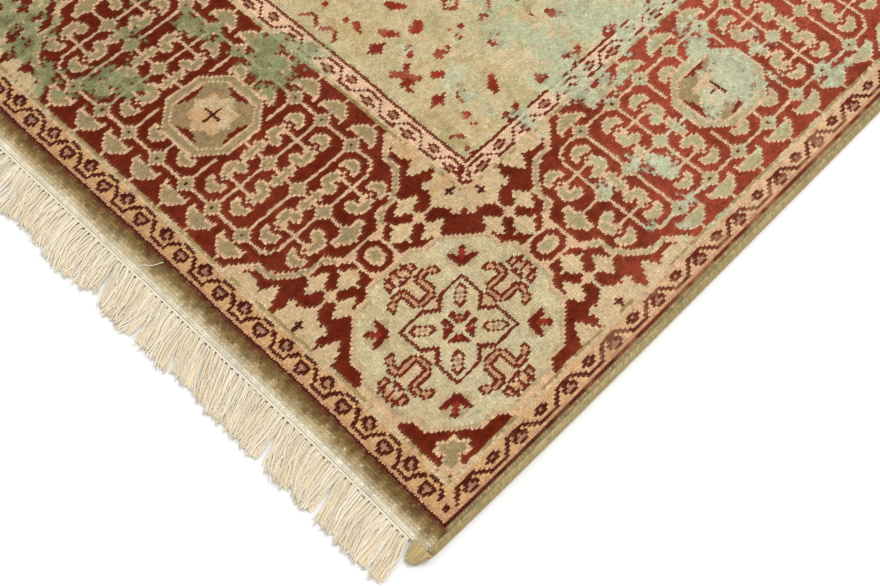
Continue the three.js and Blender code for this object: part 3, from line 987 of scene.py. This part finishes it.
def make_back():
    """The back of the cloth, just above the floor, with the drawing showing through as knots."""
    i = np.unique(np.append(np.arange(0, len(EDGES_X), BACK_STEP), len(EDGES_X) - 1))
    j = np.unique(np.append(np.arange(0, len(EDGES_Y), BACK_STEP), len(EDGES_Y) - 1))
    points = TOP[np.ix_(i, j)].copy()
    points[..., 2] = FOOT + BACK_RISE
    sums = np.add.reduceat(np.add.reduceat(YARN, i[:-1], 0), j[:-1], 1)
    counts = np.diff(i)[:, None] * np.diff(j)[None, :]
    shades = sums / counts[..., None]
    quads = grid_quads(len(i), len(j))
    a, b = np.meshgrid(np.arange(len(i) - 1), np.arange(len(j) - 1), indexing="ij")
    corner = square_corners(a, b)
    bake = (corner + 0.5) / np.array([len(i), len(j)])
    piece = new_piece("back_cloth", points.reshape(-1, 3), quads[:, ::-1], BACK_WOOL,
                      {"yarn": corner_colours(shades, OWN_BACK).reshape(-1, 4, 3)[:, ::-1]},
                      {"knots": (corner * BACK_STEP)[:, ::-1], "OFBake": bake[:, ::-1]})
    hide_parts("pile")
    return piece


back = make_back()


# Yarns

# The twist map counts along a yarn in centimetres.
TWISTS = 100


class Yarns:
    """Tubes along many paths, gathered into one piece."""

    def __init__(self):
        self.points, self.quads, self.colours, self.twist, self.normals = [], [], [], [], []
        self.count = 0

    def add(self, path, radii, shades, sides=3, lift=0.0, start=0.0):
        """path is (n, 3). radii and shades are one for each of its points, or one for all. Fibres scatter
        light, so lift turns the normals upwards by that share."""
        path = np.asarray(path, float)
        n = len(path)
        radii = np.broadcast_to(radii, (n,)).astype(float)
        shades = np.broadcast_to(shades, (n, 3))
        ahead = np.gradient(path, axis=0)
        ahead /= np.maximum(np.linalg.norm(ahead, axis=1, keepdims=True), 1e-12)
        side = np.cross(ahead, (0.0, 0.0, 1.0))
        length = np.linalg.norm(side, axis=1, keepdims=True)
        side = np.where(length > 1e-6, side / np.maximum(length, 1e-12), (1.0, 0.0, 0.0))
        up = np.cross(side, ahead)
        angles = start + 2 * np.pi * np.arange(sides) / sides
        ring = np.cos(angles)[None, :, None] * side[:, None] + np.sin(angles)[None, :, None] * up[:, None]
        points = path[:, None] + radii[:, None, None] * ring
        i, k = np.meshgrid(np.arange(n - 1), np.arange(sides), indexing="ij")
        k2 = (k + 1) % sides
        j = i + 1
        quads = np.stack([i * sides + k, j * sides + k, j * sides + k2, i * sides + k2], -1).reshape(-1, 4)
        run = np.concatenate([[0], np.cumsum(np.linalg.norm(np.diff(path, axis=0), axis=1))])
        twist = np.stack([np.stack([(k + b) / sides, run[i + a] * TWISTS], -1) for a, b in SQUARE], 2)
        self.points.append(points.reshape(-1, 3))
        self.quads.append(quads + self.count)
        self.colours.append(np.stack([shades[i], shades[j], shades[j], shades[i]], 2).reshape(-1, 4, 3))
        self.twist.append(twist.reshape(-1, 4, 2))
        self.normals.append(((1 - lift) * ring + (0, 0, lift)).reshape(-1, 3))
        self.count += n * sides

    def add_sheet(self, points, shades):
        """A grid of points, with one shade for all or one for each point."""
        rows, columns = points.shape[:2]
        quads = grid_quads(rows, columns)
        flat = points.reshape(-1, 3)
        self.points.append(flat)
        self.quads.append(quads + self.count)
        self.colours.append(np.broadcast_to(shades, points.shape).reshape(-1, 3)[quads])
        self.twist.append(flat[quads][..., :2] * TWISTS)
        self.normals.append(grid_normals(points).reshape(-1, 3))
        self.count += rows * columns

    def make(self, name, material):
        return new_piece(name, np.concatenate(self.points), np.concatenate(self.quads), material,
                         {"yarn": np.concatenate(self.colours)}, {"twist": np.concatenate(self.twist)},
                         np.concatenate(self.normals))


COTTON = spun_yarn("cotton_warp_ends_unbleached", 3.0, 0.95, 0.0004)
SELVAGE_WOOL = spun_yarn("wool_overcast_yarn", 2.0, 0.9, 0.0004)
STITCH_YARN = spun_yarn("cotton_stitching_yarn_grey", 3.0, 0.9, 0.0003)

# The locks of the fringe, with the numbers of the part's solids.
LOCK_PITCH = 0.0133
LOCK_WIDTH = 0.0112
LOCK_REACH = 0.0426
LOCK_REACH_MIN = 0.031
LOCK_LEAN = 0.3
LOCK_LEAN_SPREAD = 0.085
LOCK_GATHER = 0.26
STRIP_DEPTH = 0.005
STRIP_HEIGHT = 0.0032
TUFT_SIZES = (3, 2, 4, 3, 2, 3, 4, 2, 3)
# Real locks have more and finer yarns.
YARNS_A_LOCK = 12
YARN_RADIUS = (0.00078, 0.00095)
YARN_STRAY = 0.0026
YARN_HIGH = 0.0028
YARN_FALL = 0.0012
YARN_LOWEST = 0.001
WEAVE_DEPTH = 0.0030
# The woven end in section, as (out from the pile, height), and the number of points along it.
WEAVE_SECTION = [(0.0, FOOT), (0.0001, STRIP_HEIGHT - 0.0002), (0.0016, STRIP_HEIGHT + 0.0001),
                 (WEAVE_DEPTH, 0.0029), (WEAVE_DEPTH + 0.001, 0.0012)]
WEAVE_STATIONS = 265
# How far neighbouring locks bend and curl, and the number of such waves along an end.
LOCK_BEND = 0.005
LOCK_CURL = 0.0036
LOCK_WAVES = 40
COTTON_LIGHT = linear("#fdf2dc")
COTTON_WARM = linear("#efdcba")


def lock_table(left, right, lean, seed):
    """The locks of one end from left to right, as in the part's solids: root, reach and lean."""
    state = seed

    def draw():
        nonlocal state
        state = state * 16807 % 2147483647
        return state / 2147483647

    count = int((right - left) // LOCK_PITCH)
    spare = (right - left - count * LOCK_PITCH) / 2
    locks, tuft = [], 0
    while len(locks) < count:
        size = min(TUFT_SIZES[tuft % len(TUFT_SIZES)], count - len(locks))
        first = len(locks)
        middle = left + spare + LOCK_PITCH * (first + size / 2)
        tuft_lean = lean + LOCK_LEAN_SPREAD * (2 * draw() - 1)
        tuft_reach = LOCK_REACH * (0.9 + 0.16 * draw())
        for i in range(size):
            root = left + spare + LOCK_PITCH * (first + i + 0.5)
            reach = min(max(tuft_reach * (0.88 + 0.16 * draw()), LOCK_REACH_MIN), LOCK_REACH)
            locks.append((root, reach, tuft_lean * reach - LOCK_GATHER * (root - middle)))
        tuft += 1
    return locks


def make_fringe(name, side, left, right, lean, seed):
    """A narrow woven end and the cotton warp ends that hang from it, in loose tufts."""
    yarns = Yarns()
    stations = np.linspace(left, right, WEAVE_STATIONS)
    edge_x, edge_y = place(stations, side * HALF_Y)
    band = np.zeros((len(WEAVE_SECTION), len(stations), 3))
    last = len(WEAVE_SECTION) - 1
    for row, (out, high) in enumerate(WEAVE_SECTION):
        band[row, :, 0] = edge_x
        band[row, :, 1] = edge_y + side * (GAP + out)
        band[row, :, 2] = high + (0.00012 * rng.standard_normal(len(stations)) if 0 < row < last else 0)
    yarns.add_sheet(band[:, ::-1], COTTON_LIGHT * 0.84)
    # The points along a yarn, as shares of its length.
    t = np.array([0, 0.17, 0.36, 0.56, 0.76, 0.94, 1.0])
    waves = rng.uniform(-1, 1, (2, LOCK_WAVES))

    def lay(x, out, z):
        base_x, base_y = place(x, side * HALF_Y + 0 * x)
        return np.stack([base_x, base_y + side * (GAP + out), z], -1)

    for root, reach, shift in lock_table(left, right, lean, seed):
        tint = rng.uniform(0, 1)
        bend, curl = [np.interp(root, np.linspace(left, right, LOCK_WAVES), row) for row in waves]
        lean_over = shift * (0.68 * t + 0.32 * t * t)
        sway = lean_over + LOCK_BEND * bend * t * t + LOCK_CURL * curl * np.sin(np.pi * t)
        width = (1.2 + 0.12 * t) * LOCK_WIDTH / 2
        # A thin layer below the yarns, so that the floor doesn't show between them.
        under = np.stack([lay(root + across * width * (1.14 - 0.12 * t) + sway,
                              WEAVE_DEPTH + 0.93 * reach * t, 0.0019 - 0.0007 * t)
                          for across in (-1, -0.3, 0.3, 1)])
        yarns.add_sheet(under[:, ::-side], COTTON_WARM * 1.05)
        for k in range(YARNS_A_LOCK):
            across = (k + 0.5) / YARNS_A_LOCK * 2 - 1 + rng.uniform(-0.12, 0.12)
            length = STRIP_DEPTH - WEAVE_DEPTH + reach * rng.uniform(0.92, 1.04) * (1 - 0.08 * across ** 2)
            swing = rng.uniform(0.0006, 0.0022)
            turns = t * rng.uniform(0.8, 2.2) + rng.uniform(0, 1)
            wave = swing * np.sin(2 * np.pi * turns) * t ** 0.5
            stray = rng.normal(0, YARN_STRAY) * t ** 2
            high = YARN_HIGH - YARN_FALL * t + rng.uniform(-0.0006, 0.0006)
            high = high + 0.0005 * np.sin(6 * t + rng.uniform(0, 6.3))
            path = lay(root + across * width + sway + wave + stray, WEAVE_DEPTH - 0.0006 + length * t,
                       np.maximum(high, YARN_LOWEST))
            # The last power is the cut tip, which closes to a fifth.
            radius = rng.uniform(*YARN_RADIUS) * (1 - 0.12 * t ** 2 - 0.68 * t ** 40)
            warm = np.clip(0.2 + 0.5 * rng.uniform(-0.5, 0.9) + 0.3 * tint, 0, 1)
            shade = (COTTON_LIGHT + (COTTON_WARM - COTTON_LIGHT) * warm) * rng.uniform(0.94, 1.03)
            yarns.add(path, radius, shade, sides=3, lift=0.8, start=rng.uniform(0, 2.1))
    piece = yarns.make(f"{name}_yarns", COTTON)
    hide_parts(name)
    return piece


# Where a fringe stops short of the pile's side, and where the near one leaves room for the binding's tail.
END_INSET = 0.004
TAIL_INSET = 0.019
fringe_near = make_fringe("fringe_near", -1, -HALF_X + END_INSET, HALF_X - TAIL_INSET, LOCK_LEAN, 7)
fringe_far = make_fringe("fringe_far", 1, -HALF_X + END_INSET, HALF_X - END_INSET, -LOCK_LEAN, 29)

STITCH_PITCH = 0.0069
STITCH_RADIUS = 0.0006
STITCH_HEIGHTS = (0.0026, 0.0038, 0.0028)
STITCH_GREY = linear("#5a5f58")


def make_stitches(name, side, left, right):
    """The row of grey stitches that holds the woven end."""
    yarns = Yarns()
    for x in np.arange(left + 0.003, right - 0.003, STITCH_PITCH):
        x = x + rng.uniform(-0.0009, 0.0009)
        out = WEAVE_DEPTH + rng.uniform(-0.0003, 0.0003)
        reach, tilt = rng.uniform(0.0008, 0.0012), rng.uniform(-0.0006, 0.0004)
        base_x, base_y = place(x, side * HALF_Y)
        path = [(base_x + reach * step, base_y + side * (GAP + out - tilt * step), high)
                for step, high in zip((-1, 0, 1), STITCH_HEIGHTS)]
        yarns.add(path, STITCH_RADIUS, STITCH_GREY * rng.uniform(0.7, 1.2), sides=4)
    piece = yarns.make(name, STITCH_YARN)
    return piece


stitches_near = make_stitches("stitches_near", -1, -HALF_X + END_INSET, HALF_X - TAIL_INSET)
stitches_far = make_stitches("stitches_far", 1, -HALF_X + END_INSET, HALF_X - END_INSET)

# The width of one turn of the overcasting.
WRAP = 0.0041
KHAKI_WOOL = linear("#8f8058")
KHAKI_PALE = linear("#b9a87c")
EDGE_TAN = linear("#a48c5c")
# The side edge in section, as (out from the pile, height, share of tan).
SELVAGE_SECTION = [(0.0, 0.0006, 0), (0.0, 0.0062, 0), (0.0012, 0.0068, 0), (0.0030, 0.0063, 0.25),
                   (0.0048, 0.0048, 0.75), (0.0060, 0.0028, 1), (0.0058, 0.0008, 1), (0.0044, 0.0004, 1)]


def make_selvage(name, side):
    """The side edge: warps overcast with wool yarn, each turn a low ridge. Real turns are half as wide."""
    yarns = Yarns()
    y = np.linspace(-HALF_Y, HALF_Y, 2 * int(2 * HALF_Y / WRAP) + 1)
    size = (len(SELVAGE_SECTION), len(y))
    out, high, tan = [np.array(row)[:, None] for row in zip(*SELVAGE_SECTION)]
    ridge = np.where(np.arange(len(y)) % 2, -0.009, 0.007)
    ridge = 1 + ridge + 0.012 * rng.standard_normal(len(y)).clip(-2, 2)
    ends = np.clip((HALF_Y - np.abs(y)) / 0.005, 0, 1) ** 0.5
    base_x, base_y = place(side * HALF_X + 0 * y, y)
    rough = 0.00018 * rng.standard_normal(size).clip(-2, 2)
    grid = np.stack([base_x + side * (GAP - 0.0003 + out * ridge * (0.45 + 0.55 * ends)), base_y + 0 * out,
                     high * ridge * (0.6 + 0.4 * ends) + rough], -1)
    grid[..., 2] = np.maximum(grid[..., 2], FOOT)
    speckle = 0.5 + 0.4 * rng.standard_normal(size) + 0.4 * cloud(size, (9, 30), rng)
    speckle = np.clip(speckle, 0, 1)[..., None]
    shades = KHAKI_WOOL + (KHAKI_PALE - KHAKI_WOOL) * speckle
    shades = shades + (EDGE_TAN * (0.9 + 0.2 * speckle) - shades) * tan[..., None]
    yarns.add_sheet(grid[:, ::-side], shades[:, ::-side])
    piece = yarns.make(f"{name}_wraps", SELVAGE_WOOL)
    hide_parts(name)
    return piece


selvage_left = make_selvage("selvage_left", -1)
selvage_right = make_selvage("selvage_right", 1)

TAIL_GOLD = linear("#c6ae7c")
TAIL_LAYERS = 3
TAIL_YARNS = 22


def make_tail():
    """The unwound end of the side binding at the near corner: a short flat brush of wool."""
    yarns = Yarns()
    corner_x, corner_y = place(HALF_X, -HALF_Y)
    # Each yarn runs out from the binding, in metres from the cloth's corner. The middle ones are longest.
    for k in range(TAIL_LAYERS * TAIL_YARNS):
        share = (k % TAIL_YARNS) / (TAIL_YARNS - 1)
        layer = k // TAIL_YARNS
        start = np.array([-0.0126 + 0.0174 * share, 0.0030 - 0.0010 * share])
        length = 0.0060 + 0.0092 * np.sin(np.pi * (0.06 + 0.88 * share)) ** 0.6 - 0.0012 * layer
        end = np.array([-0.0108 + 0.0116 * share, 0.0012 - length]) + rng.normal(0, 0.0007, 2)
        t = np.linspace(0, 1, 6)[:, None]
        flat = start + (end - start) * t + np.array([0.0009, 0]) * np.sin(3.1 * t + k)
        high = (0.0044 + 0.0014 * layer) * (1 - 0.6 * t ** 1.5) + rng.uniform(-0.0004, 0.0005)
        path = np.concatenate([flat + (corner_x, corner_y - 0.0004), np.maximum(high, 0.0012)], 1)
        yarns.add(path, 0.0010 * (1 - 0.3 * t[:, 0] ** 4), TAIL_GOLD * rng.uniform(0.85, 1.12), sides=4,
                  lift=0.75, start=rng.uniform(0, 1))
    piece = yarns.make("selvage_tail_brush", SELVAGE_WOOL)
    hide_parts("selvage_tail")
    return piece


tail = make_tail()


THREAD_PALE = linear("#ebe2c8")
THREAD_RADIUS = 0.00045


def make_stray_yarn():
    """One loose thread that lies on the end band."""
    yarns = Yarns()
    # It is 22 mm long and lies about a third of a metre from the right side.
    t = np.linspace(0, 1, 14)
    x = LINE_WIDTH / 2 - 0.339 - 0.013 * t + 0.0012 * np.sin(5 * t)
    y = -LINE_LENGTH / 2 - 0.005 - 0.017 * t + 0.0008 * np.sin(9 * t)
    inset = HALF_Y - np.abs(y)
    z = PILE_HEIGHT * np.interp(inset, *END_ROLL) + 0.0007
    x, y = place(x, y)
    yarns.add(np.stack([x, y, z], -1), THREAD_RADIUS, THREAD_PALE, sides=4, lift=0.8)
    piece = yarns.make("stray_yarn", STITCH_YARN)
    return piece


stray = make_stray_yarn()


# Floor, light and camera

# Half the floor's width. It runs well past what any view shows.
FLOOR_REACH = 40.0
PAPER_WHITE = (*linear("#f7f7f6"), 1)


def make_floor():
    """Matt white paper: pale and even, with hardly any gloss."""
    f = Finish("paper_sweep_matt_white")
    coat = f.add("BsdfPrincipled", Base_Color=PAPER_WHITE, Roughness=0.9, Specular_IOR_Level=0.1)
    floor = bpy.data.meshes.new("floor")
    corners = [((2 * a - 1) * FLOOR_REACH, (2 * b - 1) * FLOOR_REACH, 0) for a, b in SQUARE]
    floor.from_pydata(corners, [], [(0, 1, 2, 3)])
    floor.materials.append(f.finish(coat))
    piece = bpy.data.objects.new("floor", floor)
    bpy.context.scene.collection.objects.link(piece)


make_floor()


def frame_matrix(right, up, back, spot):
    """The matrix of a lamp or camera that looks against back."""
    return Matrix([(right[i], up[i], back[i], spot[i]) for i in range(3)] + [(0, 0, 0, 1)])


def add_light(name, spot, aim, size, power, colour):
    """A soft lamp of the given size at spot, turned towards aim."""
    lamp = bpy.data.lights.new(name, "AREA")
    lamp.shape = "RECTANGLE"
    lamp.size, lamp.size_y = size
    lamp.energy = power
    lamp.color = colour
    light = bpy.data.objects.new(name, lamp)
    bpy.context.scene.collection.objects.link(light)
    away = np.array(spot, float) - np.array(aim, float)
    away /= np.linalg.norm(away)
    right = np.cross((0, 0, 1), away)
    right /= np.linalg.norm(right)
    up = np.cross(away, right)
    light.matrix_world = frame_matrix(right, up, away, spot)


# A soft key lamp from the far right and a weaker one from the near left, in a pale studio.
add_light("soft_key", (1.2, 2.2, 3.4), (0.4, -0.6, 0), (2.6, 2.6), 95, (1.0, 0.985, 0.96))
add_light("soft_fill", (-3.0, -2.6, 2.6), (0.2, -0.8, 0), (2.6, 2.2), 30, (1.0, 0.995, 0.98))

world = bpy.data.worlds.new("studio")
bpy.context.scene.world = world
world.use_nodes = True
world.node_tree.nodes["Background"].inputs[0].default_value = (1.0, 0.995, 0.985, 1)
world.node_tree.nodes["Background"].inputs[1].default_value = 0.85
bpy.context.scene.view_settings.view_transform = "Standard"
bpy.context.scene.view_settings.look = "None"

# The photo's view: from above the near right corner, turned 40 degrees, tilted down 62 and rolled 4. The
# spot is counted from the corner of the dark line, at the top of the pile. The focal length is 1293.1 pixels
# of the photo, which is 880 wide.
TURN, TILT, ROLL = math.radians(40.02), math.radians(62.34), math.radians(4.0)
SENSOR = 36
FOCAL = 1293.1 / 880 * SENSOR
CAMERA_OUT = 0.1820
CAMERA_BACK = 0.2526
CAMERA_UP = 0.9815
camera_spot = np.array([LINE_WIDTH / 2 + SHIFT_X + CAMERA_OUT, -LINE_LENGTH / 2 + SHIFT_Y - CAMERA_BACK,
                        PILE_HEIGHT + CAMERA_UP])
away = np.array([math.sin(TURN) * math.cos(TILT), -math.cos(TURN) * math.cos(TILT), math.sin(TILT)])
level = np.cross(-away, (0, 0, 1))
level /= np.linalg.norm(level)
above = np.cross(level, -away)
right = level * math.cos(ROLL) + above * math.sin(ROLL)
up = -level * math.sin(ROLL) + above * math.cos(ROLL)
lens = bpy.data.cameras.new("camera")
lens.lens = FOCAL
lens.sensor_width = SENSOR
lens.clip_start = 0.01
lens.clip_end = 100
camera = bpy.data.objects.new("camera", lens)
bpy.context.scene.collection.objects.link(camera)
camera.matrix_world = frame_matrix(right, up, away, camera_spot)
bpy.context.scene.camera = camera
